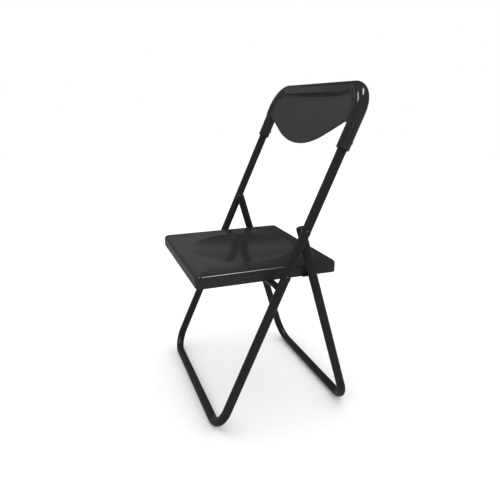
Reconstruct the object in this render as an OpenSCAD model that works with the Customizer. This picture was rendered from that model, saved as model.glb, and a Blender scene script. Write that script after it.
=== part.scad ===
// Folding chair: a looped tube front frame with a slip-on backrest, a U-shaped rear frame that
// turns on rivets above the seat, and a moulded seat that turns on rivets in the front legs.
// +Z is up, the sitter faces -Y, and the origin is on the floor at the middle of the footprint.

/* [Tubes] */
// Outer diameter of the frame tubes
tube_d = 20; // [18:0.5:24]
// Wall thickness of the frame tubes
tube_wall = 1.5; // [1:0.1:2]
// Width over the front legs
frame_w = 452; // [430:1:480]
// Lean of the front legs and uprights from vertical, in degrees
front_lean = 22.5; // [20:0.5:24]
// Length from the front floor bar to the top bar, along the leg
front_length = 788; // [760:1:820]
// Bend radius of the front frame's floor corners
front_bend = 50; // [40:1:60]
// Bend radius of the front frame's top corners
top_bend = 53; // [45:1:60]
// Lean of the rear legs from vertical, in degrees
rear_lean = 18.5; // [17:0.5:20]
// Distance between the two floor bars
stance = 328; // [320:1:336]
// Bend radius of the rear frame's floor corners
rear_bend = 50; // [40:1:60]
// Length of rear tube past its pivot
rear_tail = 5; // [4:0.5:12]

/* [Seat] */
// Width of the seat
seat_w = 359; // [345:1:359]
// Depth of the seat, front to back
seat_d = 325; // [310:1:330]
// Height of the seat's front top edge above the floor
seat_h = 357; // [351:1:360]
// Distance of the seat's front edge in front of the front floor bar
seat_overhang = 41; // [35:1:45]
// Rise of the seat toward the back, in degrees
seat_tilt = 2.1; // [1.5:0.1:3]
// Depth of the skirt round the seat
skirt_h = 27; // [25:0.5:27]
// Rounding of the seat's top edge
seat_edge_r = 9; // [6:0.5:11]
// Corner radius of the seat, seen from above
seat_corner_r = 13; // [12:1:20]
// Wall thickness of the seat moulding
seat_wall = 3; // [2.5:0.1:3.5]
// Radius of the dish at its rim
dish_r = 124; // [110:1:126]
// Depth of the dish
dish_depth = 9; // [5:0.5:10]

/* [Seat hinge] */
// Distance of the seat pivot up the front leg from the floor bar
seat_pivot_s = 370; // [368:0.5:372]
// Outer diameter of the hinge bar
bar_d = 14; // [12:0.5:15]
// Distance of the hinge bar behind the seat's front edge
bar_y = 170; // [168:0.5:172]
// Distance of the hinge bar's middle below the seat's top
bar_drop = 35; // [35:0.5:36]
// Thickness of the hinge ears
ear_t = 3.5; // [3:0.1:3.6]
// Radius of the hinge ear round the pivot
ear_r = 8; // [7:0.5:8]

/* [Backrest] */
// Outer radius of the backrest's roll and sleeves
roll_r = 14; // [13:0.5:15]
// Where the sleeves end, measured up the leg from the floor bar
sleeve_s = 657; // [650:1:665]
// Lowest point of the backrest panel, measured up the leg
panel_low_s = 653.5; // [648:0.5:658]
// Thickness of the panel
panel_t = 4; // [3:0.5:5]
// Radius of the panel's hollow curve, seen from above
panel_curve_r = 2300; // [2000:10:4500]
// Height of the lip under the top roll
lip_h = 14; // [8:0.5:15]
// Radius of the panel's curved lower edge
panel_edge_r = 300; // [290:1:310]

/* [Rivets and screws] */
// Diameter of the rivets' shanks
rivet_d = 6; // [5:0.5:6]
// Diameter of the rivets' domed heads
rivet_head_d = 13; // [12:0.5:14]
// Height of the rivets' domed heads
rivet_head_h = 4.5; // [3:0.5:5]
// Diameter of the screws
screw_d = 4; // [3.5:0.1:4]
// Diameter of the catch studs
stud_d = 8; // [7:0.5:8]
// Height of the catch studs above the floor
stud_h = 348; // [347:0.5:350]

/* [Hidden] */
$fn = 48;

tube_r = tube_d / 2;
bore_r = tube_r - tube_wall;
side_gap = 1;                       // between the front and rear tubes at the frame pivot
fit_gap = 0.3;                      // between faces that pass each other
run_gap = 0.05;                     // radial play of a part that turns on a rivet
hole_gap = 0.1;                     // radial play of a rivet or screw that doesn't turn
front_x = frame_w / 2 - tube_r;     // middle of a front leg
rear_x = front_x - tube_d - side_gap;

// Places along Y, with the origin half way between the seat's front and the rear floor bar
front_y = -(stance + tube_r - seat_overhang) / 2;
rear_y = front_y + stance;
seat_y = front_y - seat_overhang - seat_edge_r * sin(seat_tilt);

// The frame pivot lies where the axes of the front and rear legs cross
pivot_h = stance / (tan(front_lean) + tan(rear_lean));
pivot_y = front_y + pivot_h * tan(front_lean);
pivot_z = tube_r + pivot_h;
pivot_front_s = pivot_h / cos(front_lean);
pivot_rear_s = pivot_h / cos(rear_lean);

// The seat pivot, in the room and in the seat's own frame
hinge_y = front_y + seat_pivot_s * sin(front_lean);
hinge_z = tube_r + seat_pivot_s * cos(front_lean);
function to_seat(y, z) = [
    (y - seat_y) * cos(seat_tilt) + (z - seat_h) * sin(seat_tilt),
    -(y - seat_y) * sin(seat_tilt) + (z - seat_h) * cos(seat_tilt)
];
hinge_at = to_seat(hinge_y, hinge_z);
bar_at = [bar_y, -bar_drop];
stud_y = rear_y - (stud_h - tube_r) * tan(rear_lean);
stud_at = to_seat(stud_y, stud_h);
stud_rear_s = (stud_h - tube_r) / cos(rear_lean);

// Layers across the gap between the front leg and the seat
leg_in = front_x - tube_r;          // inner side of a front leg
washer_t = 1;
washer_out = leg_in - 0.2;
ear_out = washer_out - washer_t - fit_gap;
ear_in = ear_out - ear_t;
rear_in = rear_x - tube_r;          // inner side of a rear leg
flat_head_t = 1.4;
flat_head_r = 5.5;
thin_washer_t = 0.4;

// Seat moulding
skirt_x = seat_w / 2;
skirt_in = skirt_x - seat_wall;
dish_y = seat_d / 2;
bowl_r = (pow(dish_r, 2) + pow(dish_depth, 2)) / (2 * dish_depth);
boss_x = 150;
boss_w = 24;
boss_l = 48;
boss_bottom = -30;
clamp_w = 20;
clamp_t = 2;
clamp_screw_y = 17;

// Catch on the skirt
catch_t = 5;
catch_top = stud_at[1] - stud_d / 2 - fit_gap;
catch_back = stud_at[0] + stud_d / 2 + fit_gap;
catch_front = catch_back - 22;
catch_screws_at = [[catch_front + 6, catch_top - 2.6], [catch_back + 2.5, catch_top + 4]];

// Backrest
panel_straight_x = 120;             // the lower edge is an arc up to here, then straight
sleeve_gap = 0.2;
backrest_screw_s = sleeve_s + 18;

// Frames of reference
module on_front() { translate([0, front_y, tube_r]) rotate([-front_lean, 0, 0]) children(); }
module on_rear() { translate([0, rear_y, tube_r]) rotate([rear_lean, 0, 0]) children(); }
module on_seat() { translate([0, seat_y, seat_h]) rotate([seat_tilt, 0, 0]) children(); }
module across(side) { rotate([0, side * 90, 0]) children(); }

// A quarter bend of round rod in the XZ plane, from straight down round to straight inwards
module bend(r, bend_r) {
    rotate([90, 0, 0]) rotate_extrude(angle = 90) translate([bend_r, 0]) circle(r);
}

// Round rod as a U: two legs up to leg_s, with floor corners of radius bend_r
module rod_u(r, half_w, leg_s, bend_r) {
    for (side = [-1, 1]) {
        translate([side * half_w, 0, bend_r]) cylinder(r = r, h = leg_s - bend_r);
        scale_x(side) translate([half_w - bend_r, 0, bend_r]) rotate([0, 90, 0]) bend(r, bend_r);
    }
    translate([bend_r - half_w, 0, 0]) rotate([0, 90, 0]) cylinder(r = r, h = 2 * (half_w - bend_r));
}

// Mirror a child to the other side when side is -1
module scale_x(side) {
    if (side < 0) mirror([1, 0, 0]) children();
    else children();
}

// Round rod as a closed loop in the XZ plane
module rod_loop(r, half_w, length, low_bend, high_bend) {
    rod_u(r, half_w, length - high_bend, low_bend);
    translate([0, 0, length]) mirror([0, 0, 1]) rod_u(r, half_w, high_bend, high_bend);
}

module front_frame() {
    color("#2b2b2d") on_front() difference() {
        rod_loop(tube_r, front_x, front_length, front_bend, top_bend);
        rod_loop(bore_r, front_x, front_length, front_bend, top_bend);
        for (s = [seat_pivot_s, pivot_front_s]) {
            translate([0, 0, s]) across(1)
                cylinder(r = rivet_d / 2 + hole_gap, h = frame_w + 2, center = true);
        }
        for (side = [-1, 1]) {
            translate([side * front_x, 0, backrest_screw_s]) rotate([-90, 0, 0])
                cylinder(r = screw_d / 2 + hole_gap, h = tube_r + 1);
        }
    }
}

// Outline of the panel in the plane of the front frame
module panel_outline() {
    edge_mid = panel_low_s + panel_edge_r;
    turn = asin(panel_straight_x / panel_edge_r);
    side_s = edge_mid - panel_edge_r * cos(turn) + (front_x - panel_straight_x) * tan(turn);
    arc = [for (a = [-turn : turn / 16 : turn + 0.001])
        [panel_edge_r * sin(a), edge_mid - panel_edge_r * cos(a)]];
    right = [for (a = [0 : 10 : 90])
        [front_x - top_bend * (1 - cos(a)), front_length - top_bend * (1 - sin(a))]];
    left = [for (a = [90 : -10 : 0])
        [top_bend * (1 - cos(a)) - front_x, front_length - top_bend * (1 - sin(a))]];
    polygon(concat([[-front_x, side_s]], arc, [[front_x, side_s]], right, left));
}

module backrest_shell() {
    color("#3a3a3c") on_front() difference() {
        union() {
            translate([0, 0, front_length]) mirror([0, 0, 1])
                rod_u(roll_r, front_x, front_length - sleeve_s, top_bend);
            intersection() {
                rotate([90, 0, 0]) linear_extrude(height = 60, center = true) panel_outline();
                translate([0, -panel_curve_r - panel_t / 2, 0]) difference() {
                    cylinder(r = panel_curve_r + panel_t, h = front_length + 20, $fn = 1440);
                    translate([0, 0, -1])
                        cylinder(r = panel_curve_r, h = front_length + 22, $fn = 1440);
                }
            }
            translate([top_bend - front_x, -roll_r + 0.5, front_length - lip_h])
                cube([2 * (front_x - top_bend), roll_r, lip_h]);
        }
        translate([0, 0, front_length]) mirror([0, 0, 1])
            rod_u(tube_r + sleeve_gap, front_x, front_length - sleeve_s + 1, top_bend);
        for (side = [-1, 1]) {
            translate([side * front_x, 0, backrest_screw_s]) rotate([-90, 0, 0])
                cylinder(r = screw_d / 2 + hole_gap, h = roll_r + 1);
        }
    }
}

// Pan-head screw whose head sits on Z = 0 and whose shank runs down
module screw(length) {
    translate([0, 0, -length]) cylinder(r = screw_d / 2, h = length);
    rotate_extrude() intersection() {
        square([screw_d, 2.4]);
        translate([0, -4.2]) circle(6.6);
    }
}

module backrest_screws() {
    color("#b8b8b8") on_front() for (side = [-1, 1]) {
        translate([side * front_x, roll_r, backrest_screw_s]) rotate([-90, 0, 0]) screw(10);
    }
}

// Domed head on Z = 0, shank down to the flattened inner head
module rivet(grip) {
    dome_r = (pow(rivet_head_d / 2, 2) + pow(rivet_head_h, 2)) / (2 * rivet_head_h);
    translate([0, 0, -grip - flat_head_t]) cylinder(r = rivet_d / 2, h = grip + flat_head_t);
    translate([0, 0, -grip - flat_head_t]) cylinder(r = flat_head_r, h = flat_head_t);
    rotate_extrude() intersection() {
        square([rivet_head_d / 2, rivet_head_h]);
        translate([0, rivet_head_h - dome_r]) circle(dome_r);
    }
}

module frame_pivot_rivet(side) {
    color("#2b2b2d") translate([side * frame_w / 2, pivot_y, pivot_z]) across(side)
        rivet(frame_w / 2 - rear_in + fit_gap);
}

module frame_pivot_washer(side) {
    color("#d8d8d4") translate([side * (leg_in - fit_gap), pivot_y, pivot_z]) across(-side)
        difference() {
            cylinder(r = 6, h = thin_washer_t);
            translate([0, 0, -1]) cylinder(r = rivet_d / 2 + hole_gap, h = thin_washer_t + 2);
        }
}

module seat_pivot_rivet(side) {
    color("#2b2b2d") translate([side * frame_w / 2, hinge_y, hinge_z]) across(side)
        rivet(frame_w / 2 - ear_in + fit_gap);
}

module seat_pivot_washer(side) {
    color("#b8b8b8") translate([side * washer_out, hinge_y, hinge_z]) across(-side)
        difference() {
            cylinder(r = 6.5, h = washer_t);
            translate([0, 0, -1]) cylinder(r = rivet_d / 2 + hole_gap, h = washer_t + 2);
        }
}

module rear_frame() {
    top_s = pivot_rear_s + rear_tail;
    color("#2b2b2d") on_rear() difference() {
        rod_u(tube_r, rear_x, top_s, rear_bend);
        rod_u(bore_r, rear_x, top_s + 1, rear_bend);
        translate([0, 0, pivot_rear_s]) across(1)
            cylinder(r = rivet_d / 2 + run_gap, h = frame_w, center = true);
        for (side = [-1, 1]) {
            translate([side * rear_x, 0, stud_rear_s]) across(-side)
                cylinder(r = stud_d / 2 + hole_gap, h = tube_r + 1);
        }
    }
}

// Plug with a stem in the bore, clear of the pivot rivet, and a low crowned flange over the tube's end
module rear_end_cap(side) {
    stem = rear_tail - rivet_d / 2 - 0.5;
    color("#1c1c1c") on_rear() translate([side * rear_x, 0, pivot_rear_s + rear_tail]) {
        translate([0, 0, -stem]) cylinder(r = bore_r - hole_gap, h = stem);
        rotate_extrude() intersection() {
            square([tube_r - 0.2, 2]);
            translate([0, -38]) circle(40);
        }
    }
}

module catch_stud(side) {
    stud_in = skirt_x + 0.8;
    color("#2b2b2d") on_rear() translate([side * stud_in, 0, stud_rear_s]) across(side)
        cylinder(r = stud_d / 2, h = rear_in + 2.5 - stud_in);
}

// Section of the skirt: outer face at X = 0, top at Y = 0
module skirt_section() {
    difference() {
        union() {
            translate([-seat_edge_r, -skirt_h]) square([seat_edge_r, skirt_h - seat_edge_r]);
            intersection() {
                translate([-seat_edge_r, -seat_edge_r]) circle(seat_edge_r);
                translate([-seat_edge_r, -seat_edge_r]) square(seat_edge_r);
            }
        }
        translate([-seat_edge_r - 1, -skirt_h - 1])
            square([seat_edge_r + 1 - seat_wall, skirt_h + 1 - seat_edge_r]);
        translate([-seat_edge_r, -seat_edge_r]) circle(seat_edge_r - seat_wall);
    }
}

// The skirt's section run round the seat: four straights and four corners
module skirt() {
    flat_x = skirt_x - seat_corner_r;
    flat_y = seat_d - 2 * seat_corner_r;
    for (side = [-1, 1]) {
        scale_x(side) translate([skirt_x, seat_corner_r + flat_y, 0]) rotate([90, 0, 0])
            linear_extrude(height = flat_y) skirt_section();
        scale_x(side) translate([flat_x, seat_corner_r, 0]) rotate([0, 0, -90])
            rotate_extrude(angle = 90) translate([seat_corner_r, 0]) skirt_section();
        scale_x(side) translate([flat_x, seat_d - seat_corner_r, 0])
            rotate_extrude(angle = 90) translate([seat_corner_r, 0]) skirt_section();
    }
    translate([flat_x, seat_d, 0]) rotate([90, 0, -90]) mirror([1, 0, 0])
        linear_extrude(height = 2 * flat_x) skirt_section();
    translate([-flat_x, 0, 0]) rotate([90, 0, 90]) mirror([1, 0, 0])
        linear_extrude(height = 2 * flat_x) skirt_section();
}

// Flat top inside the rounded edge, with a round hole for the dish
module top_plate() {
    flat = seat_corner_r - seat_edge_r;
    translate([0, 0, -seat_wall]) difference() {
        linear_extrude(height = seat_wall) union() {
            translate([-skirt_x + seat_corner_r, seat_edge_r])
                square([seat_w - 2 * seat_corner_r, seat_d - 2 * seat_edge_r]);
            translate([-skirt_x + seat_edge_r, seat_corner_r])
                square([seat_w - 2 * seat_edge_r, seat_d - 2 * seat_corner_r]);
            for (x = [-1, 1], y = [seat_corner_r, seat_d - seat_corner_r]) {
                translate([x * (skirt_x - seat_corner_r), y]) circle(flat);
            }
        }
        translate([0, dish_y, -1]) cylinder(r = dish_r + 3, h = seat_wall + 2, $fn = 96);
    }
}

// Shallow bowl: two concentric arcs cut off at the rim, and the rim's flat ring
module dish() {
    translate([0, dish_y, 0]) rotate_extrude($fn = 96) {
        intersection() {
            translate([0, bowl_r - dish_depth]) difference() {
                circle(bowl_r + seat_wall, $fn = 1440);
                circle(bowl_r, $fn = 1440);
            }
            translate([0, -dish_depth - seat_wall]) square([dish_r, dish_depth + seat_wall]);
        }
        translate([dish_r - 0.5, -seat_wall]) square([3.5, seat_wall]);
    }
}

module seat_shell() {
    color("#3a3a3c") on_seat() difference() {
        union() {
            skirt();
            top_plate();
            dish();
            for (side = [-1, 1]) {
                translate([side * boss_x - boss_w / 2, bar_y - boss_l / 2, boss_bottom])
                    cube([boss_w, boss_l, -boss_bottom - seat_wall]);
            }
        }
        translate([0, bar_at[0], bar_at[1]]) across(1)
            cylinder(r = bar_d / 2 + hole_gap, h = 2 * skirt_in - 2, center = true);
        for (side = [-1, 1], y = [-clamp_screw_y, clamp_screw_y]) {
            translate([side * boss_x, bar_y + y, boss_bottom - 1])
                cylinder(r = screw_d / 2 + hole_gap, h = 14);
        }
        for (side = [-1, 1], at = catch_screws_at) {
            translate([side * (skirt_in - 1), at[0], at[1]]) across(side)
                cylinder(r = screw_d / 2 + hole_gap, h = seat_wall + 2);
        }
    }
}

module seat_hinge_bar() {
    color("#2b2b2d") on_seat() translate([0, bar_at[0], bar_at[1]]) across(1) difference() {
        cylinder(r = bar_d / 2, h = 2 * ear_in, center = true);
        cylinder(r = bar_d / 2 - tube_wall, h = 2 * ear_in + 2, center = true);
    }
}

// Ear plate: a foot on the bar's end, a neck set back, and a round head on the pivot
module hinge_ear(side) {
    reach = hinge_at - bar_at;
    lean = atan2(reach[0], reach[1]);
    color("#2b2b2d") on_seat() translate([side * ear_in, bar_at[0], bar_at[1]])
        scale_x(side) difference() {
            rotate([-lean, 0, 0]) {
                across(1) cylinder(r = bar_d / 2, h = ear_t);
                translate([0, -2.5, 0]) cube([ear_t, ear_r + 2.5, norm(reach)]);
                translate([0, 0, norm(reach)]) across(1) cylinder(r = ear_r, h = ear_t);
            }
            rotate([-lean, 0, 0]) translate([-1, 0, norm(reach)]) across(1)
                cylinder(r = rivet_d / 2 + run_gap, h = ear_t + 2);
        }
}

// Strap bent under the bar, with a foot in front and behind
module bar_clamp(side) {
    inner = bar_d / 2 + hole_gap;
    foot = boss_l / 2;
    rise = boss_bottom - bar_at[1];
    color("#8c8c8c") on_seat() translate([side * boss_x, bar_at[0], bar_at[1]]) difference() {
        union() {
            across(1) cylinder(r = inner + clamp_t, h = clamp_w, center = true);
            translate([-clamp_w / 2, -inner - clamp_t, 0])
                cube([clamp_w, 2 * (inner + clamp_t), rise]);
            translate([-clamp_w / 2, -foot, rise - clamp_t]) cube([clamp_w, 2 * foot, clamp_t]);
        }
        across(1) cylinder(r = inner, h = clamp_w + 2, center = true);
        translate([-clamp_w, -inner, 0]) cube([2 * clamp_w, 2 * inner, rise + 10]);
        translate([-clamp_w, -foot - 1, rise]) cube([2 * clamp_w, 2 * foot + 2, 20]);
        for (y = [-clamp_screw_y, clamp_screw_y]) {
            translate([0, y, rise - clamp_t - 1]) cylinder(r = screw_d / 2 + hole_gap, h = 6);
        }
    }
}

module clamp_screws() {
    color("#b8b8b8") on_seat() for (side = [-1, 1], y = [-clamp_screw_y, clamp_screw_y]) {
        translate([side * boss_x, bar_y + y, boss_bottom - clamp_t]) rotate([180, 0, 0]) screw(12);
    }
}

// Catch: a ledge under the stud and an upstand behind it
module seat_catch(side) {
    ledge = catch_top + skirt_h;
    color("#1c1c1c") on_seat() scale_x(side) translate([skirt_x, 0, 0]) difference() {
        union() {
            translate([0, catch_front, -skirt_h]) cube([catch_t, catch_back - catch_front, ledge]);
            translate([0, catch_back, -skirt_h]) cube([catch_t, catch_t, ledge + 9]);
        }
        for (at = catch_screws_at) {
            translate([-1, at[0], at[1]]) across(1) cylinder(r = screw_d / 2 + hole_gap, h = 5);
        }
    }
}

module catch_screws() {
    color("#b8b8b8") on_seat() for (side = [-1, 1], at = catch_screws_at) {
        translate([side * skirt_in, at[0], at[1]]) across(-side) screw(6.5);
    }
}

front_frame();
backrest_shell();
backrest_screws();
frame_pivot_rivet(1);  // frame_pivot_rivet_left
frame_pivot_rivet(-1);  // frame_pivot_rivet_right
frame_pivot_washer(1);  // frame_pivot_washer_left
frame_pivot_washer(-1);  // frame_pivot_washer_right
seat_pivot_rivet(1);  // seat_pivot_rivet_left
seat_pivot_rivet(-1);  // seat_pivot_rivet_right
seat_pivot_washer(1);  // seat_pivot_washer_left
seat_pivot_washer(-1);  // seat_pivot_washer_right
rear_frame();
rear_end_cap(1);  // rear_end_cap_left
rear_end_cap(-1);  // rear_end_cap_right
catch_stud(1);  // catch_stud_left
catch_stud(-1);  // catch_stud_right
seat_shell();
seat_hinge_bar();
hinge_ear(1);  // hinge_ear_left
hinge_ear(-1);  // hinge_ear_right
bar_clamp(1);  // bar_clamp_left
bar_clamp(-1);  // bar_clamp_right
clamp_screws();
seat_catch(1);  // seat_catch_left
seat_catch(-1);  // seat_catch_right
catch_screws();
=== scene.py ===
"""Folding chair: looped steel tube frame, dished plastic seat and a slip-on plastic backrest.

Laid out as an add-on and run as a script. Each operator makes one piece, or gives a group of
like pieces their finish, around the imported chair.
"""

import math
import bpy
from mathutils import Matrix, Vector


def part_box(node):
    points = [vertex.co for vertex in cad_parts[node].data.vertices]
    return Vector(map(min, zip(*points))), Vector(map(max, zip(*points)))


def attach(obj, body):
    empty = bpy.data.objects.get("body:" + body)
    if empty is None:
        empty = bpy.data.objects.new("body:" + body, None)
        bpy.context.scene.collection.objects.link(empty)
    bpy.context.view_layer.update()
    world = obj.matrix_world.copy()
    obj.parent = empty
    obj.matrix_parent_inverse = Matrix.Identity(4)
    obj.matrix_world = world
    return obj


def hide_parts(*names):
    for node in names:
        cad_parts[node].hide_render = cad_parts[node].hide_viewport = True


bl_info = {
    "name": "Folding Chair",
    "version": (1, 0, 0),
    "blender": (4, 5, 0),
    "location": "View3D > Sidebar > Folding Chair",
    "description": "Builds the finishes, seat and backrest of a tubular folding chair",
    "category": "Object",
}

import bmesh
import bpy
import numpy as np
from mathutils import Matrix, Vector

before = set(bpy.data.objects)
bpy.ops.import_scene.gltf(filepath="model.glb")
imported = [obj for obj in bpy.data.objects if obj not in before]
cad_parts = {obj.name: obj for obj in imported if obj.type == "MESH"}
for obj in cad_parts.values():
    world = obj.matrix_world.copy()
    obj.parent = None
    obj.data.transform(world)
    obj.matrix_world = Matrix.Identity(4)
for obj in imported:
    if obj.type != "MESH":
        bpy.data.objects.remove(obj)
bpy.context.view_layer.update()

MM = 0.001
TUBE_R = 10 * MM
FRONT_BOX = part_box("front_frame")
SEAT_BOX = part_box("seat_shell")
FRONT_BAR = Vector((0, FRONT_BOX[0].y + TUBE_R, TUBE_R))
TUBE_NODES = ("front_frame", "rear_frame", "seat_hinge_bar")
SIDES = ("left", "right")

SEAT_EDGE_R = 9 * MM
SEAT_OVERHANG = 41 * MM
SEAT_SKIRT = 27 * MM
SEAT_WALL = 3 * MM
BOSS_SIZE = (24 * MM, 48 * MM, 28 * MM)
BOSS_X = 150 * MM
BOSS_Y = 170 * MM
BOSS_Z = -16 * MM
BOSS_BEVEL = 1.2 * MM

LIP_DEPTH = 15 * MM
LIP_FADE_FROM = 145 * MM
LIP_FADE_WIDTH = 48 * MM
PANEL_CURVE_R = 2300 * MM
PANEL_EDGE_R = 300 * MM
PANEL_STRAIGHT_X = 120 * MM


# ---------------------------------------------------------------- sizes and colours


class ChairSizes(bpy.types.PropertyGroup):
    """Sizes of the pieces made here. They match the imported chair."""

    front_lean: bpy.props.FloatProperty(
        name="Front Lean",
        description="Lean of the front frame from vertical",
        default=math.radians(22.5),
        subtype="ANGLE",
        unit="ROTATION",
    )
    leg_x: bpy.props.FloatProperty(
        name="Leg Offset",
        description="Middle of a front leg from the chair's middle",
        default=FRONT_BOX[1].x - TUBE_R,
        subtype="DISTANCE",
        unit="LENGTH",
    )
    frame_length: bpy.props.FloatProperty(
        name="Frame Length",
        description="Floor bar to top bar, along the front frame",
        default=0.788,
        subtype="DISTANCE",
        unit="LENGTH",
    )
    top_bend: bpy.props.FloatProperty(
        name="Top Bend",
        description="Bend radius of the frame's top corners",
        default=0.053,
        subtype="DISTANCE",
        unit="LENGTH",
    )
    roll_radius: bpy.props.FloatProperty(
        name="Roll Radius",
        description="Outer radius of the backrest's roll and sleeves",
        default=0.014,
        subtype="DISTANCE",
        unit="LENGTH",
    )
    sleeve_end: bpy.props.FloatProperty(
        name="Sleeve End",
        description="Where the sleeves end, along the front frame",
        default=0.657,
        subtype="DISTANCE",
        unit="LENGTH",
    )
    panel_low: bpy.props.FloatProperty(
        name="Panel Bottom",
        description="Lowest point of the backrest's panel, along the front frame",
        default=0.6535,
        subtype="DISTANCE",
        unit="LENGTH",
    )
    panel_thickness: bpy.props.FloatProperty(
        name="Panel Thickness",
        description="Thickness of the backrest's panel",
        default=0.004,
        subtype="DISTANCE",
        unit="LENGTH",
    )
    seat_tilt: bpy.props.FloatProperty(
        name="Seat Tilt",
        description="Rise of the seat toward the back",
        default=math.radians(2.1),
        subtype="ANGLE",
        unit="ROTATION",
    )
    seat_width: bpy.props.FloatProperty(
        name="Seat Width",
        description="Width of the seat",
        default=SEAT_BOX[1].x - SEAT_BOX[0].x,
        subtype="DISTANCE",
        unit="LENGTH",
    )
    seat_depth: bpy.props.FloatProperty(
        name="Seat Depth",
        description="Depth of the seat, front to back",
        default=0.325,
        subtype="DISTANCE",
        unit="LENGTH",
    )
    seat_height: bpy.props.FloatProperty(
        name="Seat Height",
        description="Height of the seat's front top edge",
        default=0.357,
        subtype="DISTANCE",
        unit="LENGTH",
    )
    dish_radius: bpy.props.FloatProperty(
        name="Dish Radius",
        description="Radius of the dish at its rim",
        default=0.124,
        subtype="DISTANCE",
        unit="LENGTH",
    )
    dish_rim: bpy.props.FloatProperty(
        name="Dish Rim",
        description="Rounding of the dish's rim",
        default=0.02,
        subtype="DISTANCE",
        unit="LENGTH",
    )
    dish_depth: bpy.props.FloatProperty(
        name="Dish Depth",
        description="Depth of the dish",
        default=0.009,
        subtype="DISTANCE",
        unit="LENGTH",
    )


class ChairColours(bpy.types.PropertyGroup):
    """Colours of the finishes."""

    moulding: bpy.props.FloatVectorProperty(
        name="Moulding",
        description="Colour of the seat and backrest plastic",
        default=(0.0200, 0.0200, 0.0205, 1.0),
        size=4,
        min=0.0,
        max=1.0,
        subtype="COLOR",
    )
    tube: bpy.props.FloatVectorProperty(
        name="Tube",
        description="Colour of the powder coat on the tubes",
        default=(0.0120, 0.0120, 0.0124, 1.0),
        size=4,
        min=0.0,
        max=1.0,
        subtype="COLOR",
    )
    rivet: bpy.props.FloatVectorProperty(
        name="Rivet",
        description="Colour of the rivets' lacquer",
        default=(0.0130, 0.0130, 0.0134, 1.0),
        size=4,
        min=0.0,
        max=1.0,
        subtype="COLOR",
    )
    plug: bpy.props.FloatVectorProperty(
        name="Plug",
        description="Colour of the tube plugs and catches",
        default=(0.0120, 0.0120, 0.0124, 1.0),
        size=4,
        min=0.0,
        max=1.0,
        subtype="COLOR",
    )
    zinc: bpy.props.FloatVectorProperty(
        name="Zinc",
        description="Colour of the plated clamps, screws and washers",
        default=(0.56, 0.57, 0.59, 1.0),
        size=4,
        min=0.0,
        max=1.0,
        subtype="COLOR",
    )
    nylon: bpy.props.FloatVectorProperty(
        name="Nylon",
        description="Colour of the nylon washers",
        default=(0.70, 0.69, 0.64, 1.0),
        size=4,
        min=0.0,
        max=1.0,
        subtype="COLOR",
    )


# ---------------------------------------------------------------- shader groups


def new_group(name, inputs, outputs):
    """An empty shader group with named sockets, and its two end nodes."""
    group = bpy.data.node_groups.new(name, "ShaderNodeTree")
    for label, kind, value in inputs:
        socket = group.interface.new_socket(name=label, in_out="INPUT", socket_type=kind)
        socket.default_value = value
    for label, kind in outputs:
        group.interface.new_socket(name=label, in_out="OUTPUT", socket_type=kind)
    start = group.nodes.new("NodeGroupInput")
    end = group.nodes.new("NodeGroupOutput")
    start.location = (-900, 0)
    end.location = (500, 0)
    return group, start, end


def noise(tree, scale, detail, roughness, where):
    """A noise texture on Object coordinates."""
    coords = tree.nodes.new("ShaderNodeTexCoord")
    texture = tree.nodes.new("ShaderNodeTexNoise")
    texture.inputs["Detail"].default_value = detail
    texture.inputs["Roughness"].default_value = roughness
    tree.links.new(coords.outputs["Object"], texture.inputs["Vector"])
    tree.links.new(scale, texture.inputs["Scale"])
    coords.location = (where[0] - 220, where[1])
    texture.location = where
    return texture.outputs["Fac"]


def spread(tree, value, low, high, to_low, to_high, where):
    """Map a value's low to high range onto another range, clamped."""
    node = tree.nodes.new("ShaderNodeMapRange")
    node.inputs["From Min"].default_value = low
    node.inputs["From Max"].default_value = high
    node.inputs["To Min"].default_value = to_low
    node.inputs["To Max"].default_value = to_high
    tree.links.new(value, node.inputs["Value"])
    node.location = where
    return node.outputs["Result"]


def combine(tree, operation, a, b, where):
    """A Math node on two sockets or numbers."""
    node = tree.nodes.new("ShaderNodeMath")
    node.operation = operation
    for socket, value in zip(node.inputs, (a, b)):
        if isinstance(value, (int, float)):
            socket.default_value = value
        else:
            tree.links.new(value, socket)
    node.location = where
    return node.outputs["Value"]


def blend_colour(tree, factor, a, b, where):
    """A Mix node on colours."""
    node = tree.nodes.new("ShaderNodeMix")
    node.data_type = "RGBA"
    tree.links.new(factor, node.inputs["Factor"])
    for socket, value in ((node.inputs["A"], a), (node.inputs["B"], b)):
        if isinstance(value, tuple):
            socket.default_value = value
        else:
            tree.links.new(value, socket)
    node.location = where
    return node.outputs["Result"]


def tone_group():
    """Slow, faint changes of shade, as in any moulded or sprayed surface."""
    group, start, end = new_group(
        "chair_tone",
        [
            ("Colour", "NodeSocketColor", (0.5, 0.5, 0.5, 1)),
            ("Amount", "NodeSocketFloat", 0.1),
            ("Scale", "NodeSocketFloat", 8.0),
        ],
        [("Colour", "NodeSocketColor")],
    )
    cloud = noise(group, start.outputs["Scale"], 4.0, 0.55, (-700, 200))
    swing = spread(group, cloud, 0.3, 0.7, -1.0, 1.0, (-480, 200))
    amount = combine(group, "MULTIPLY", swing, start.outputs["Amount"], (-280, 200))
    gain = combine(group, "ADD", amount, 1.0, (-100, 200))
    scale = group.nodes.new("ShaderNodeVectorMath")
    scale.operation = "SCALE"
    scale.location = (120, 100)
    group.links.new(start.outputs["Colour"], scale.inputs[0])
    group.links.new(gain, scale.inputs["Scale"])
    group.links.new(scale.outputs["Vector"], end.inputs["Colour"])
    return group


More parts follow.
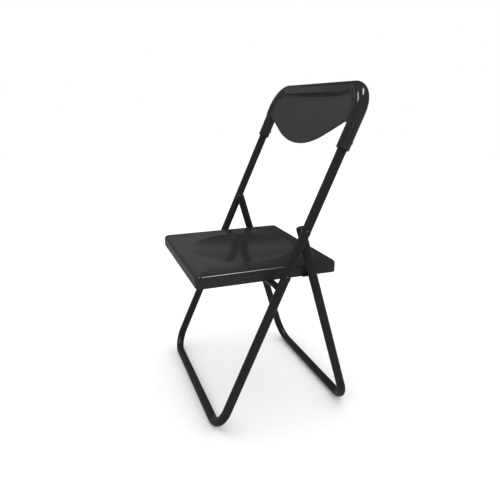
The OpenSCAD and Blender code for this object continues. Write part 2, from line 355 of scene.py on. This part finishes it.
def grain_group():
    """Height of a fine, even grain, with a slower swell under it."""
    group, start, end = new_group(
        "chair_grain",
        [
            ("Fine Scale", "NodeSocketFloat", 900.0),
            ("Swell Scale", "NodeSocketFloat", 40.0),
            ("Swell", "NodeSocketFloat", 0.3),
        ],
        [("Height", "NodeSocketFloat")],
    )
    fine = noise(group, start.outputs["Fine Scale"], 2.0, 0.5, (-700, 250))
    slow = noise(group, start.outputs["Swell Scale"], 2.0, 0.5, (-700, -100))
    swell = combine(group, "MULTIPLY", slow, start.outputs["Swell"], (-450, -100))
    total = combine(group, "ADD", fine, swell, (-200, 100))
    group.links.new(total, end.inputs["Height"])
    return group


def scuff_group():
    """A mask of fine, short handling marks and rubbed patches."""
    group, start, end = new_group(
        "chair_scuffs",
        [
            ("Mark Scale", "NodeSocketFloat", 260.0),
            ("Patch Scale", "NodeSocketFloat", 14.0),
            ("Cover", "NodeSocketFloat", 0.5),
        ],
        [("Mask", "NodeSocketFloat")],
    )
    coords = group.nodes.new("ShaderNodeTexCoord")
    coords.location = (-1200, 250)
    stretch = group.nodes.new("ShaderNodeMapping")
    stretch.inputs["Rotation"].default_value = (0.4, 0.3, 0.7)
    stretch.inputs["Scale"].default_value = (0.08, 1.0, 1.0)
    stretch.location = (-1000, 250)
    marks = group.nodes.new("ShaderNodeTexNoise")
    marks.inputs["Detail"].default_value = 3.0
    marks.location = (-760, 250)
    group.links.new(coords.outputs["Object"], stretch.inputs["Vector"])
    group.links.new(stretch.outputs["Vector"], marks.inputs["Vector"])
    group.links.new(start.outputs["Mark Scale"], marks.inputs["Scale"])
    thin = spread(group, marks.outputs["Fac"], 0.62, 0.72, 0.0, 1.0, (-520, 250))
    patch = noise(group, start.outputs["Patch Scale"], 3.0, 0.6, (-760, -120))
    where = spread(group, patch, 0.45, 0.65, 0.0, 1.0, (-520, -120))
    both = combine(group, "MULTIPLY", thin, where, (-280, 100))
    cover = combine(group, "MULTIPLY", both, start.outputs["Cover"], (-80, 100))
    group.links.new(cover, end.inputs["Mask"])
    return group


def dust_group():
    """A mask that is strongest on faces that look up, broken by soft patches."""
    group, start, end = new_group(
        "chair_dust",
        [("Amount", "NodeSocketFloat", 0.1), ("Scale", "NodeSocketFloat", 20.0)],
        [("Mask", "NodeSocketFloat")],
    )
    geometry = group.nodes.new("ShaderNodeNewGeometry")
    geometry.location = (-900, 300)
    split = group.nodes.new("ShaderNodeSeparateXYZ")
    split.location = (-700, 300)
    group.links.new(geometry.outputs["Normal"], split.inputs["Vector"])
    up = spread(group, split.outputs["Z"], 0.3, 1.0, 0.0, 1.0, (-500, 300))
    cloud = noise(group, start.outputs["Scale"], 5.0, 0.6, (-700, -50))
    patch = spread(group, cloud, 0.35, 0.75, 0.3, 1.0, (-500, -50))
    both = combine(group, "MULTIPLY", up, patch, (-280, 120))
    amount = combine(group, "MULTIPLY", both, start.outputs["Amount"], (-80, 120))
    group.links.new(amount, end.inputs["Mask"])
    return group


SHARED_GROUPS = {
    "tone": tone_group,
    "grain": grain_group,
    "scuffs": scuff_group,
    "dust": dust_group,
}


def shared(tree, which, values, where):
    """Place one of the shared groups in a material, with its own values."""
    name = "chair_" + which
    group = bpy.data.node_groups.get(name) or SHARED_GROUPS[which]()
    node = tree.nodes.new("ShaderNodeGroup")
    node.node_tree = group
    for label, value in values.items():
        node.inputs[label].default_value = value
    node.location = where
    return node


# ---------------------------------------------------------------- finishes


def finish_material(name, colour, look):
    """A finish made of the shared groups around one Principled shader."""
    found = bpy.data.materials.get(name)
    if found:
        return found
    material = bpy.data.materials.new(name)
    material.use_nodes = True
    tree = material.node_tree
    shader = tree.nodes["Principled BSDF"]
    shader.inputs["Metallic"].default_value = look.get("metallic", 0.0)
    shader.inputs["IOR"].default_value = look.get("ior", 1.5)
    shader.inputs["Specular IOR Level"].default_value = look.get("specular", 0.5)
    shader.inputs["Coat Weight"].default_value = look.get("coat", 0.0)
    shader.inputs["Coat Roughness"].default_value = look.get("coat_roughness", 0.1)
    tone = shared(
        tree, "tone", {"Amount": look["tone"], "Scale": look.get("tone_scale", 9.0)}, (-900, 300)
    )
    tone.inputs["Colour"].default_value = tuple(colour)
    scuffs = shared(
        tree,
        "scuffs",
        {
            "Mark Scale": look.get("mark_scale", 260.0),
            "Patch Scale": look.get("patch_scale", 14.0),
            "Cover": look.get("scuffs", 0.4),
        },
        (-900, 60),
    )
    dust = shared(
        tree, "dust", {"Amount": look.get("dust", 0.05), "Scale": 22.0}, (-900, -160)
    )
    pale = tuple(min(1.0, c * 1.8 + 0.02) for c in colour[:3]) + (1.0,)
    marked = blend_colour(
        tree, scuffs.outputs["Mask"], tone.outputs["Colour"], pale, (-560, 260)
    )
    dusty = blend_colour(
        tree, dust.outputs["Mask"], marked, (0.30, 0.29, 0.28, 1.0), (-340, 260)
    )
    tree.links.new(dusty, shader.inputs["Base Color"])
    rough = look["roughness"]
    rise = combine(tree, "ADD", scuffs.outputs["Mask"], dust.outputs["Mask"], (-560, -20))
    worn = spread(tree, rise, 0.0, 1.0, rough, min(1.0, rough + 0.35), (-340, -20))
    tree.links.new(worn, shader.inputs["Roughness"])
    grain = shared(
        tree,
        "grain",
        {
            "Fine Scale": look.get("grain_scale", 900.0),
            "Swell Scale": look.get("swell_scale", 40.0),
            "Swell": look.get("swell", 0.3),
        },
        (-560, -320),
    )
    bump = tree.nodes.new("ShaderNodeBump")
    bump.inputs["Strength"].default_value = look.get("grain", 0.1)
    bump.inputs["Distance"].default_value = 0.0002
    bump.location = (-340, -320)
    tree.links.new(grain.outputs["Height"], bump.inputs["Height"])
    tree.links.new(bump.outputs["Normal"], shader.inputs["Normal"])
    return material


LOOKS = {
    "moulding": {
        "roughness": 0.13,
        "tone": 0.05,
        "scuffs": 0.12,
        "dust": 0.015,
        "grain": 0.08,
        "grain_scale": 700.0,
        "specular": 0.4,
    },
    "tube": {
        "roughness": 0.30,
        "tone": 0.08,
        "scuffs": 0.25,
        "dust": 0.03,
        "grain": 0.35,
        "grain_scale": 420.0,
        "specular": 0.4,
    },
    "rivet": {
        "roughness": 0.18,
        "tone": 0.06,
        "scuffs": 0.5,
        "dust": 0.02,
        "grain": 0.1,
        "grain_scale": 1200.0,
    },
    "plug": {
        "roughness": 0.42,
        "tone": 0.06,
        "scuffs": 0.3,
        "dust": 0.03,
        "grain": 0.3,
        "grain_scale": 1600.0,
    },
    "zinc": {
        "roughness": 0.34,
        "metallic": 1.0,
        "tone": 0.16,
        "tone_scale": 120.0,
        "scuffs": 0.5,
        "mark_scale": 900.0,
        "patch_scale": 90.0,
        "dust": 0.0,
        "grain": 0.3,
        "grain_scale": 1500.0,
    },
    "nylon": {
        "roughness": 0.5,
        "tone": 0.05,
        "scuffs": 0.1,
        "dust": 0.0,
        "grain": 0.2,
        "grain_scale": 2000.0,
    },
}


def finish(which):
    """The material of one of the chair's finishes."""
    colours = bpy.context.scene.chair_colours
    return finish_material("chair_" + which, getattr(colours, which), LOOKS[which])


def paint(obj, which):
    """Give an object one finish all over."""
    obj.data.materials.clear()
    obj.data.materials.append(finish(which))


# ---------------------------------------------------------------- mesh helpers


def new_piece(name, mesh, which, body):
    """Link a finished mesh as a piece that rides on a body."""
    obj = bpy.data.objects.new(name, mesh)
    bpy.context.scene.collection.objects.link(obj)
    paint(obj, which)
    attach(obj, body)
    return obj


def mesh_from(bm, name):
    """Write a bmesh out as a mesh, with its faces pointing outwards."""
    bmesh.ops.recalc_face_normals(bm, faces=bm.faces[:])
    mesh = bpy.data.meshes.new(name)
    bm.to_mesh(mesh)
    bm.free()
    mesh.shade_smooth()
    return mesh


def seat_place():
    """The seat's own frame: its front top edge, tilted."""
    sizes = bpy.context.scene.chair_sizes
    front = FRONT_BAR.y - SEAT_OVERHANG - SEAT_EDGE_R * math.sin(sizes.seat_tilt)
    return Matrix.Translation((0, front, sizes.seat_height)) @ Matrix.Rotation(
        sizes.seat_tilt, 4, "X"
    )


# ---------------------------------------------------------------- seat

CORNER_STEPS = 10
STRAIGHT_STEPS = 28


def rounded_rectangle(half_x, half_y, corner):
    """Points round a rectangle with round corners, the same number for any size."""
    points = []
    for quarter in range(4):
        turn = quarter * math.pi / 2
        flip = quarter % 2
        reach = (half_y, half_x) if flip else (half_x, half_y)
        middle = Vector((reach[0] - corner, reach[1] - corner))
        spin = Matrix.Rotation(turn, 2)
        for step in range(CORNER_STEPS):
            angle = step / CORNER_STEPS * math.pi / 2
            arm = Vector((math.cos(angle), math.sin(angle))) * corner
            points.append(spin @ (middle + arm))
        start = middle + Vector((0, corner))
        end = Vector((-middle.x, start.y))
        for step in range(STRAIGHT_STEPS):
            points.append(spin @ start.lerp(end, step / STRAIGHT_STEPS))
    return points


def fillet(corner, before, after, radius, steps):
    """Points of an arc that rounds the corner of a profile."""
    a = (before - corner).normalized()
    b = (after - corner).normalized()
    half = a.angle(b) / 2
    reach = radius / math.tan(half)
    middle = corner + (a + b).normalized() * (radius / math.sin(half))
    start = corner + a * reach
    end = corner + b * reach
    sweep = (start - middle).angle_signed(end - middle)
    return [
        middle + Matrix.Rotation(-sweep * step / steps, 2) @ (start - middle)
        for step in range(steps + 1)
    ]


def dish_profile(sizes, drop):
    """Radius and height of the dish, from its middle out to past its rim."""
    bowl_r = (sizes.dish_radius**2 + sizes.dish_depth**2) / (2 * sizes.dish_depth)
    top = bowl_r - sizes.dish_depth - drop
    points = []
    for step in range(17):
        radius = 2 * MM + (sizes.dish_radius - 5 * MM) * step / 16
        points.append(Vector((radius, top - math.sqrt(bowl_r**2 - radius**2))))
    edge = Vector((sizes.dish_radius, -drop))
    flat = Vector((sizes.dish_radius + 20 * MM, -drop))
    points += fillet(edge, points[-1], flat, sizes.dish_rim, 8)
    return points


def seat_rings(sizes):
    """Every ring of the seat, from the dish's middle over the skirt and back underneath."""
    half_x = sizes.seat_width / 2
    half_y = sizes.seat_depth / 2
    corner = 13 * MM
    edge_r = SEAT_EDGE_R
    skirt = SEAT_SKIRT
    wall = SEAT_WALL
    lip_r = 1 * MM

    def outline(inset, z):
        ring = rounded_rectangle(half_x - inset, half_y - inset, corner - inset)
        return [Vector((p.x, p.y, z)) for p in ring]

    guide = rounded_rectangle(half_x - edge_r, half_y - edge_r, corner - edge_r)
    bearings = [math.atan2(p.y, p.x) for p in guide]

    def circle(radius, z):
        return [Vector((radius * math.cos(a), radius * math.sin(a), z)) for a in bearings]

    rings = [circle(p.x, p.y) for p in dish_profile(sizes, 0)]
    rings.append(circle(sizes.dish_radius + 5 * MM, 0))
    for step in range(9):
        angle = step / 8 * math.pi / 2
        rings.append(
            outline(edge_r * (1 - math.sin(angle)), -edge_r * (1 - math.cos(angle)))
        )
    rings.append(outline(0, -skirt * 0.6))
    for step in range(5):
        angle = step / 4 * math.pi / 2
        rings.append(
            outline(lip_r * (1 - math.cos(angle)), -skirt + lip_r * (1 - math.sin(angle)))
        )
    for step in range(5):
        angle = step / 4 * math.pi / 2
        rings.append(
            outline(
                wall - lip_r * (1 - math.sin(angle)), -skirt + lip_r * (1 - math.cos(angle))
            )
        )
    inner_r = edge_r - wall
    rings.append(outline(wall, -skirt * 0.6))
    for step in range(7):
        angle = step / 6 * math.pi / 2
        rings.append(
            outline(edge_r - inner_r * math.cos(angle), -edge_r + inner_r * math.sin(angle))
        )
    rings.append(circle(sizes.dish_radius + 5 * MM, -wall))
    rings += [circle(p.x, p.y) for p in reversed(dish_profile(sizes, wall))]
    return rings


def lofted(rings, place):
    """A closed skin through rings that have the same number of points."""
    bm = bmesh.new()
    bmesh.ops.create_circle(bm, segments=len(rings[0]), radius=1.0, cap_ends=True)
    bm.verts.ensure_lookup_table()
    loop = list(bm.verts)
    for vert, point in zip(loop, rings[0]):
        vert.co = point
    edges = [e for e in bm.edges]
    for ring in rings[1:]:
        made = bmesh.ops.extrude_edge_only(bm, edges=edges)["geom"]
        edges = [g for g in made if isinstance(g, bmesh.types.BMEdge)]
        fresh = [g for g in made if isinstance(g, bmesh.types.BMVert)]
        edges = [e for e in edges if e.verts[0] in fresh and e.verts[1] in fresh]
        order = {}
        for vert in fresh:
            for edge in vert.link_edges:
                other = edge.other_vert(vert)
                if other in loop:
                    order[loop.index(other)] = vert
        loop = [order[i] for i in range(len(ring))]
        for vert, point in zip(loop, ring):
            vert.co = point
    bmesh.ops.holes_fill(bm, edges=edges, sides=0)
    bmesh.ops.transform(bm, matrix=place, verts=bm.verts[:])
    return bm


class CHAIR_OT_seat(bpy.types.Operator):
    """Mould the seat: dish, rounded edge, skirt and the bosses underneath"""

    bl_idname = "chair.seat"
    bl_label = "Seat"

    def execute(self, context):
        sizes = context.scene.chair_sizes
        middle = Matrix.Translation((0, sizes.seat_depth / 2, 0))
        place = seat_place()
        bm = lofted(seat_rings(sizes), place @ middle)
        for side in (-1, 1):
            block = Matrix.Translation((side * BOSS_X, BOSS_Y, BOSS_Z))
            shape = Matrix.Diagonal((*BOSS_SIZE, 1))
            made = bmesh.ops.create_cube(bm, size=1.0, matrix=place @ block @ shape)
            edges = list({e for v in made["verts"] for e in v.link_edges})
            bmesh.ops.bevel(
                bm,
                geom=edges,
                affect="EDGES",
                offset=BOSS_BEVEL,
                segments=3,
                profile=0.5,
                material=-1,
            )
        mesh = mesh_from(bm, "seat_moulding")
        mesh.set_sharp_from_angle(angle=math.radians(50))
        seat = new_piece("seat_moulding", mesh, "moulding", "seat")
        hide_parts("seat_shell")
        return {"FINISHED"}


# ---------------------------------------------------------------- backrest


def outside_loop(p, sizes):
    """How far points lie outside the tube's middle line, in the front frame's own plane."""
    qx = np.abs(p[:, 0]) - (sizes.leg_x - sizes.top_bend)
    qs = p[:, 2] - (sizes.frame_length - sizes.top_bend)
    corner = np.hypot(np.maximum(qx, 0), np.maximum(qs, 0))
    return corner + np.minimum(np.maximum(qx, qs), 0) - sizes.top_bend


def backrest_distance(p, sizes):
    """Signed distance to the backrest's outer surface, in the front frame's own plane.

    Columns of p are x across, n backwards and s up the frame.
    """
    x = np.abs(p[:, 0])
    n = p[:, 1]
    s = p[:, 2]
    away = outside_loop(p, sizes)
    roll = np.hypot(away, n) - sizes.roll_radius
    fade = np.clip((x - LIP_FADE_FROM) / LIP_FADE_WIDTH, 0, 1)
    lip_depth = LIP_DEPTH * (1 - fade * fade * (3 - 2 * fade))
    lip = round_cut(-n - sizes.roll_radius, -away - lip_depth, 1 * MM)
    roll = np.minimum(roll, np.maximum(lip, np.maximum(n, away)))
    roll = round_cut(roll, sizes.sleeve_end - s, 1.2 * MM)

    turn = math.asin(PANEL_STRAIGHT_X / PANEL_EDGE_R)
    middle = sizes.panel_low + PANEL_EDGE_R
    curved_x = np.minimum(x, PANEL_STRAIGHT_X)
    arc = middle - np.sqrt(np.maximum(PANEL_EDGE_R**2 - curved_x**2, 0))
    low = arc + np.maximum(x - PANEL_STRAIGHT_X, 0) * math.tan(turn)
    lean = np.cos(np.arcsin(curved_x / PANEL_EDGE_R))
    below = (low - s) * lean
    inside = np.maximum(below, away)
    hollow = x**2 / (2 * PANEL_CURVE_R)
    half = sizes.panel_thickness / 2
    slab = np.abs(n + hollow) - half
    panel = round_cut(slab, inside, 1.6 * MM)

    top = np.clip((s - (sizes.frame_length - 40 * MM)) / (20 * MM), 0, 1)
    middle_part = np.clip((178 * MM - x) / (40 * MM), 0, 1)
    soft = 12 * MM * (1 - top * middle_part) + 0.8 * MM
    return join(panel, roll, soft)


def join(a, b, soft):
    """Two distances as one shape, with the inner corner between them filled out."""
    mix = np.clip(0.5 + 0.5 * (a - b) / soft, 0, 1)
    return a * (1 - mix) + b * mix - soft * mix * (1 - mix)


def round_cut(a, b, radius):
    """Where two distances both hold, with their corner rounded."""
    outer = np.hypot(np.maximum(a + radius, 0), np.maximum(b + radius, 0))
    return outer + np.minimum(np.maximum(a + radius, b + radius), 0) - radius


def settle(points, distance, kept):
    """Move points onto a surface along its slope, apart from those that are kept."""
    step = 0.02 * MM
    for _ in range(8):
        value = distance(points)
        slope = np.stack(
            [
                (distance(points + step * axis) - distance(points - step * axis)) / (2 * step)
                for axis in np.eye(3)
            ],
            axis=1,
        )
        size = np.maximum((slope**2).sum(axis=1), 0.2)
        move = value / size
        move[kept] = 0
        points = points - slope * move[:, None]
    return points


class CHAIR_OT_backrest(bpy.types.Operator):
    """Mould the backrest: sleeves and roll over the frame, blended into the panel"""

    bl_idname = "chair.backrest"
    bl_label = "Backrest"

    def execute(self, context):
        sizes = context.scene.chair_sizes
        bm = bmesh.new()
        bm.from_mesh(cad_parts["backrest_shell"].data)
        bmesh.ops.remove_doubles(bm, verts=bm.verts[:], dist=0.01 * MM)
        mesh = mesh_from(bm, "backrest_moulding")
        rough = bpy.data.objects.new("backrest_rough", mesh)
        context.scene.collection.objects.link(rough)
        remesh = rough.modifiers.new("Skin", "REMESH")
        remesh.mode = "VOXEL"
        remesh.voxel_size = 1.6 * MM
        context.view_layer.update()
        skin = bpy.data.meshes.new_from_object(
            rough.evaluated_get(context.evaluated_depsgraph_get())
        )
        bpy.data.objects.remove(rough)

        place = Matrix.Translation(FRONT_BAR) @ Matrix.Rotation(-sizes.front_lean, 4, "X")
        skin.transform(place.inverted())
        points = np.empty(len(skin.vertices) * 3, np.float32)
        skin.vertices.foreach_get("co", points)
        points = points.reshape(-1, 3).astype(float)
        bore = np.hypot(outside_loop(points, sizes), points[:, 1]) < sizes.roll_radius - 2 * MM
        points = settle(points, lambda p: backrest_distance(p, sizes), bore)
        skin.vertices.foreach_set("co", points.astype(np.float32).ravel())
        skin.transform(place)
        skin.update()
        skin.name = "backrest_moulding"
        skin.shade_smooth()
        backrest = new_piece("backrest_moulding", skin, "moulding", "front")
        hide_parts("backrest_shell")
        return {"FINISHED"}


# ---------------------------------------------------------------- carried-over parts


def paint_nodes(names, which):
    """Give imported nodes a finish."""
    for name in names:
        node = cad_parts[name]
        paint(node, which)


class CHAIR_OT_tubes(bpy.types.Operator):
    """Powder coat the tubes, the hinge ears and the catch studs"""

    bl_idname = "chair.tubes"
    bl_label = "Tubes"

    def execute(self, context):
        names = list(TUBE_NODES)
        names += [part + side for part in ("hinge_ear_", "catch_stud_") for side in SIDES]
        paint_nodes(names, "tube")
        return {"FINISHED"}


class CHAIR_OT_rivets(bpy.types.Operator):
    """Lacquer the rivets"""

    bl_idname = "chair.rivets"
    bl_label = "Rivets"

    def execute(self, context):
        names = [
            part + side for part in ("frame_pivot_rivet_", "seat_pivot_rivet_") for side in SIDES
        ]
        paint_nodes(names, "rivet")
        return {"FINISHED"}


class CHAIR_OT_plugs(bpy.types.Operator):
    """Finish the tube plugs and the seat's catches in satin plastic"""

    bl_idname = "chair.plugs"
    bl_label = "Plugs and Catches"

    def execute(self, context):
        names = [part + side for part in ("rear_end_cap_", "seat_catch_") for side in SIDES]
        paint_nodes(names, "plug")
        return {"FINISHED"}


class CHAIR_OT_fittings(bpy.types.Operator):
    """Plate the clamps, screws and steel washers, and finish the nylon washers"""

    bl_idname = "chair.fittings"
    bl_label = "Fittings"

    def execute(self, context):
        names = ["clamp_screws", "catch_screws", "backrest_screws"]
        names += [part + side for part in ("bar_clamp_", "seat_pivot_washer_") for side in SIDES]
        paint_nodes(names, "zinc")
        paint_nodes(["frame_pivot_washer_" + side for side in SIDES], "nylon")
        return {"FINISHED"}


# ---------------------------------------------------------------- stage

ROOM_LIGHT = 1.3
# Strength of the even glow that stands in for the floor in the chair's gloss: a painted
# reflection, not the lit paper.
FLOOR_GLOW_IN_GLOSS = 0.2
# Height of a direction (0 level, 1 straight up) and the brightness there.
WINDOW_RAMP = ((0.0, 0.0), (0.15, 0.2), (0.33, 1.0), (0.46, 0.1), (1.0, 0.1))
HORIZON_RAMP = ((0.0, 0.09), (0.14, 0.08), (0.26, 0.01), (1.0, 0.01))
# Where the window gives way to a dark card, toward the back, and its light on either side.
CARD_EDGE = (0.24, 0.38)
WINDOW_LIGHT = (0.23, 0.03)
LIGHT_TARGET_Z = 0.4
LIGHT_DISTANCE = 4.0
CAMERA_LENS = 34.76
CAMERA_AZIMUTH = math.radians(69.507)
CAMERA_PITCH = math.radians(16.323)
CAMERA_ROLL = 0.0310
CAMERA_PLACE = (1.08073, -0.41147, 0.68982)


def paper_material():
    """White paper for the floor, which shows darker in the chair's own gloss: there the paper is
    swapped for a dim, even glow, a painted reflection.
    """
    material = bpy.data.materials.new("floor_paper")
    material.use_nodes = True
    tree = material.node_tree
    shader = tree.nodes["Principled BSDF"]
    shader.inputs["Base Color"].default_value = (0.93, 0.93, 0.93, 1)
    shader.inputs["Roughness"].default_value = 0.9
    shader.inputs["Specular IOR Level"].default_value = 0.0
    # Painted reflection: glossy rays see the floor as this flat glow instead of the lamp-lit
    # paper.
    dim = tree.nodes.new("ShaderNodeEmission")
    dim.inputs["Color"].default_value = (1, 1, 1, 1)
    dim.inputs["Strength"].default_value = FLOOR_GLOW_IN_GLOSS
    path = tree.nodes.new("ShaderNodeLightPath")
    pick = tree.nodes.new("ShaderNodeMixShader")
    tree.links.new(path.outputs["Is Glossy Ray"], pick.inputs["Fac"])
    tree.links.new(shader.outputs["BSDF"], pick.inputs[1])
    tree.links.new(dim.outputs["Emission"], pick.inputs[2])
    tree.links.new(pick.outputs["Shader"], tree.nodes["Material Output"].inputs["Surface"])
    return material


def sky_ramp(tree, stops):
    """A grey ramp from the horizon up to straight overhead."""
    node = tree.nodes.new("ShaderNodeValToRGB")
    ramp = node.color_ramp
    ramp.interpolation = "EASE"
    while len(ramp.elements) < len(stops):
        ramp.elements.new(0.5)
    for element, (place, value) in zip(ramp.elements, stops):
        element.position = place
        element.color = (value, value, value, 1)
    return node


def softbox(name, towards, distance, size, power, target):
    """A rectangular light that looks at the chair from a direction."""
    data = bpy.data.lights.new(name, "AREA")
    data.shape = "RECTANGLE"
    data.size, data.size_y = size
    data.energy = power
    lamp = bpy.data.objects.new(name, data)
    lamp.visible_diffuse = False
    way = Vector(towards).normalized()
    lamp.location = target + way * distance
    lamp.rotation_mode = "QUATERNION"
    lamp.rotation_quaternion = way.to_track_quat("Z", "Y")
    bpy.context.scene.collection.objects.link(lamp)
    return lamp


def studio_world():
    """White room to the camera and the floor, and a dim studio with one window in the gloss."""
    world = bpy.data.worlds.new("studio")
    world.use_nodes = True
    tree = world.node_tree
    room = tree.nodes["Background"]
    room.inputs["Color"].default_value = (1, 1, 1, 1)
    room.inputs["Strength"].default_value = ROOM_LIGHT
    mirrored = tree.nodes.new("ShaderNodeBackground")
    mirrored.inputs["Color"].default_value = (1, 1, 1, 1)
    where = tree.nodes.new("ShaderNodeTexCoord")
    parts = tree.nodes.new("ShaderNodeSeparateXYZ")
    tree.links.new(where.outputs["Generated"], parts.inputs["Vector"])
    high = sky_ramp(tree, WINDOW_RAMP)
    low = sky_ramp(tree, HORIZON_RAMP)
    tree.links.new(parts.outputs["Z"], high.inputs["Fac"])
    tree.links.new(parts.outputs["Z"], low.inputs["Fac"])
    side = tree.nodes.new("ShaderNodeMapRange")
    side.interpolation_type = "SMOOTHSTEP"
    side.inputs["From Min"].default_value = CARD_EDGE[0]
    side.inputs["From Max"].default_value = CARD_EDGE[1]
    side.inputs["To Min"].default_value = WINDOW_LIGHT[0]
    side.inputs["To Max"].default_value = WINDOW_LIGHT[1]
    tree.links.new(parts.outputs["Y"], side.inputs["Value"])
    window = tree.nodes.new("ShaderNodeMath")
    window.operation = "MULTIPLY_ADD"
    tree.links.new(high.outputs["Color"], window.inputs[0])
    tree.links.new(side.outputs["Result"], window.inputs[1])
    tree.links.new(low.outputs["Color"], window.inputs[2])
    tree.links.new(window.outputs["Value"], mirrored.inputs["Strength"])
    seen = tree.nodes.new("ShaderNodeBackground")
    seen.inputs["Color"].default_value = (1, 1, 1, 1)
    seen.inputs["Strength"].default_value = 1.0
    path = tree.nodes.new("ShaderNodeLightPath")
    gloss = tree.nodes.new("ShaderNodeMixShader")
    tree.links.new(path.outputs["Is Glossy Ray"], gloss.inputs["Fac"])
    tree.links.new(room.outputs["Background"], gloss.inputs[1])
    tree.links.new(mirrored.outputs["Background"], gloss.inputs[2])
    pick = tree.nodes.new("ShaderNodeMixShader")
    tree.links.new(path.outputs["Is Camera Ray"], pick.inputs["Fac"])
    tree.links.new(gloss.outputs["Shader"], pick.inputs[1])
    tree.links.new(seen.outputs["Background"], pick.inputs[2])
    tree.links.new(pick.outputs["Shader"], tree.nodes["World Output"].inputs["Surface"])
    return world


def studio_camera():
    """The camera, turned about the vertical, tipped down and rolled a little."""
    data = bpy.data.cameras.new("camera")
    data.sensor_width = 36.0
    data.lens = CAMERA_LENS
    camera = bpy.data.objects.new("camera", data)
    azimuth = CAMERA_AZIMUTH
    pitch = CAMERA_PITCH
    roll = CAMERA_ROLL
    right = Vector((math.cos(azimuth), math.sin(azimuth), 0))
    back = Vector(
        (
            math.sin(azimuth) * math.cos(pitch),
            -math.cos(azimuth) * math.cos(pitch),
            math.sin(pitch),
        )
    )
    up = back.cross(right)
    rolled_right = right * math.cos(roll) + up * math.sin(roll)
    rolled_up = up * math.cos(roll) - right * math.sin(roll)
    turn = Matrix((rolled_right, rolled_up, back)).transposed()
    camera.matrix_world = Matrix.Translation(CAMERA_PLACE) @ turn.to_4x4()
    return camera


class CHAIR_OT_stage(bpy.types.Operator):
    """Lay the floor, hang the lights and set up the camera"""

    bl_idname = "chair.stage"
    bl_label = "Stage"

    def execute(self, context):
        scene = context.scene
        bm = bmesh.new()
        bmesh.ops.create_grid(bm, x_segments=1, y_segments=1, size=6.0)
        floor = bpy.data.objects.new("floor", mesh_from(bm, "floor"))
        floor.data.materials.append(paper_material())
        scene.collection.objects.link(floor)

        scene.world = studio_world()
        target = Vector((0, 0, LIGHT_TARGET_Z))
        softbox("top_softbox", (0.12, 0.20, 0.97), LIGHT_DISTANCE, (1.6, 0.7), 60, target)
        softbox(
            "front_softbox", (-0.10, -0.45, 0.88), LIGHT_DISTANCE, (2.2, 0.5), 45, target
        )

        camera = studio_camera()
        scene.collection.objects.link(camera)
        scene.camera = camera
        scene.view_settings.view_transform = "Standard"
        return {"FINISHED"}


# ---------------------------------------------------------------- panel and running


OPERATORS = (
    CHAIR_OT_tubes,
    CHAIR_OT_rivets,
    CHAIR_OT_plugs,
    CHAIR_OT_fittings,
    CHAIR_OT_seat,
    CHAIR_OT_backrest,
    CHAIR_OT_stage,
)


class CHAIR_PT_tools(bpy.types.Panel):
    """Lists what the chair is made of"""

    bl_idname = "CHAIR_PT_tools"
    bl_label = "Folding Chair"
    bl_space_type = "VIEW_3D"
    bl_region_type = "UI"
    bl_category = "Folding Chair"

    def draw(self, context):
        for operator in OPERATORS:
            self.layout.operator(operator.bl_idname)
        for settings in (context.scene.chair_sizes, context.scene.chair_colours):
            box = self.layout.box()
            for name in settings.__annotations__:
                box.prop(settings, name)


CLASSES = (ChairSizes, ChairColours, *OPERATORS, CHAIR_PT_tools)


def register():
    for cls in CLASSES:
        bpy.utils.register_class(cls)
    bpy.types.Scene.chair_sizes = bpy.props.PointerProperty(type=ChairSizes)
    bpy.types.Scene.chair_colours = bpy.props.PointerProperty(type=ChairColours)


def unregister():
    del bpy.types.Scene.chair_colours
    del bpy.types.Scene.chair_sizes
    for cls in reversed(CLASSES):
        bpy.utils.unregister_class(cls)


def main():
    register()
    bpy.ops.chair.tubes()
    bpy.ops.chair.rivets()
    bpy.ops.chair.plugs()
    bpy.ops.chair.fittings()
    bpy.ops.chair.seat()
    bpy.ops.chair.backrest()
    bpy.ops.chair.stage()


if __name__ == "__main__":
    main()
